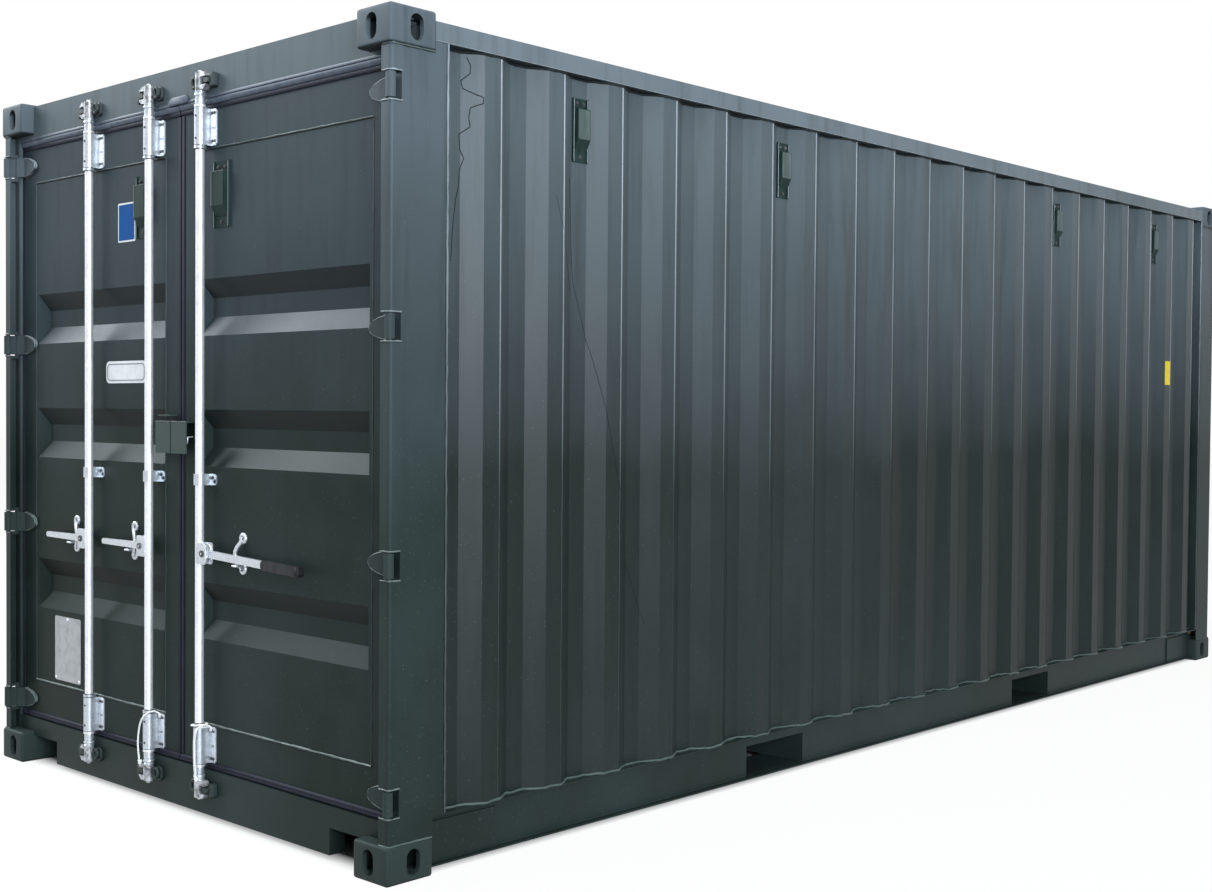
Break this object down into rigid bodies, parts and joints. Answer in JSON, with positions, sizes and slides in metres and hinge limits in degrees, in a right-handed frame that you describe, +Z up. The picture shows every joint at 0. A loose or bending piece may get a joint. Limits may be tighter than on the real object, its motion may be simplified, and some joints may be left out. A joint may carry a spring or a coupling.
{
  "type": "shipping container",
  "caption": "Steel dry freight container: corrugated walls, ribbed roof, double cargo doors with turning lock rods and lever handles, fork pockets and hollow corner fittings.",
  "frame": {"origin": "on the ground under the middle of the container", "axes": "+Z up, -Y out of the door end, +X to the right when facing the doors"},
  "size_m": [2.438, 6.058, 2.591],
  "materials": {
    "painted_steel": "satin paint, scratched and dusty",
    "painted_underframe": "satin paint over a dark coating",
    "painted_casting": "painted rough casting",
    "painted_forging": "painted forging with worn edges",
    "galvanised_steel": "dull zinc coating",
    "rubber_seal": "matt black rubber",
    "black_rubber": "smooth black sleeve",
    "dark_plastic": "painted moulded cover",
    "plywood_floor": "worn plywood",
    "white_rope": "twisted cord"
  },
  "bodies": {
    "container": {"top_corner_fittings": "painted_casting", "bottom_corner_fittings": "painted_casting", "door_posts": "painted_steel", "hinge_pins": "galvanised_steel", "front_posts": "painted_steel", "door_header": "painted_steel", "door_sill": "painted_steel", "front_top_rail": "painted_steel", "front_bottom_rail": "painted_steel", "top_side_rails": "painted_steel", "bottom_side_rails": "painted_underframe", "left_side_wall": "painted_steel", "right_side_wall": "painted_steel", "front_wall": "painted_steel", "roof": "painted_steel", "floor": "plywood_floor", "cross_members": "painted_underframe", "fork_pockets": "painted_underframe", "side_vents": "dark_plastic", "cam_keepers": "painted_forging"},
    "left_door": {"left_door_frame": "painted_steel", "left_door_panel": "painted_steel", "left_door_gasket": "rubber_seal", "left_door_hinges": "painted_steel", "left_door_vent": "dark_plastic", "left_lock_box": "painted_steel", "left_rod_brackets": "galvanised_steel", "left_handle_catches": "galvanised_steel", "left_tie_rope": "white_rope"},
    "right_door": {"right_door_frame": "painted_steel", "right_door_panel": "painted_steel", "right_door_gasket": "rubber_seal", "right_door_hinges": "painted_steel", "right_door_vent": "dark_plastic", "right_lock_box": "painted_steel", "right_rod_brackets": "galvanised_steel", "right_handle_catch": "galvanised_steel", "right_tie_rope": "white_rope"},
    "left_outer_lock_rod": {"left_outer_rod": "galvanised_steel"},
    "left_inner_lock_rod": {"left_inner_rod": "galvanised_steel"},
    "right_lock_rod": {"right_rod": "galvanised_steel"},
    "left_outer_lever": {"left_outer_handle": "galvanised_steel"},
    "left_inner_lever": {"left_inner_handle": "galvanised_steel"},
    "right_lever": {"right_handle": "galvanised_steel", "right_handle_grip": "black_rubber"}
  },
  "joints": [
    {"name": "left_door_hinge", "type": "hinge", "parent": "container", "child": "left_door", "pos_m": [-1.203, -3.013, 1.3], "axis": [0, 0, -1], "range_deg": [0, 267]},
    {"name": "right_door_hinge", "type": "hinge", "parent": "container", "child": "right_door", "pos_m": [1.203, -3.013, 1.3], "axis": [0, 0, 1], "range_deg": [0, 267]},
    {"name": "left_outer_rod_turn", "type": "hinge", "parent": "left_door", "child": "left_outer_lock_rod", "pos_m": [-0.582, -2.999, 1.3], "axis": [0, 0, -1], "range_deg": [-95, 0]},
    {"name": "left_inner_rod_turn", "type": "hinge", "parent": "left_door", "child": "left_inner_lock_rod", "pos_m": [-0.158, -2.999, 1.3], "axis": [0, 0, -1], "range_deg": [-95, 0]},
    {"name": "right_rod_turn", "type": "hinge", "parent": "right_door", "child": "right_lock_rod", "pos_m": [0.17, -2.999, 1.3], "axis": [0, 0, 1], "range_deg": [-95, 0]},
    {"name": "left_outer_lever_lift", "type": "hinge", "parent": "left_outer_lock_rod", "child": "left_outer_lever", "pos_m": [-0.62, -2.999, 0.914], "axis": [0, -1, 0], "range_deg": [-25, 0]},
    {"name": "left_inner_lever_lift", "type": "hinge", "parent": "left_inner_lock_rod", "child": "left_inner_lever", "pos_m": [-0.196, -2.999, 0.914], "axis": [0, -1, 0], "range_deg": [-25, 0]},
    {"name": "right_lever_lift", "type": "hinge", "parent": "right_lock_rod", "child": "right_lever", "pos_m": [0.208, -2.999, 0.914], "axis": [0, 1, 0], "range_deg": [-25, 0]}
  ]
}
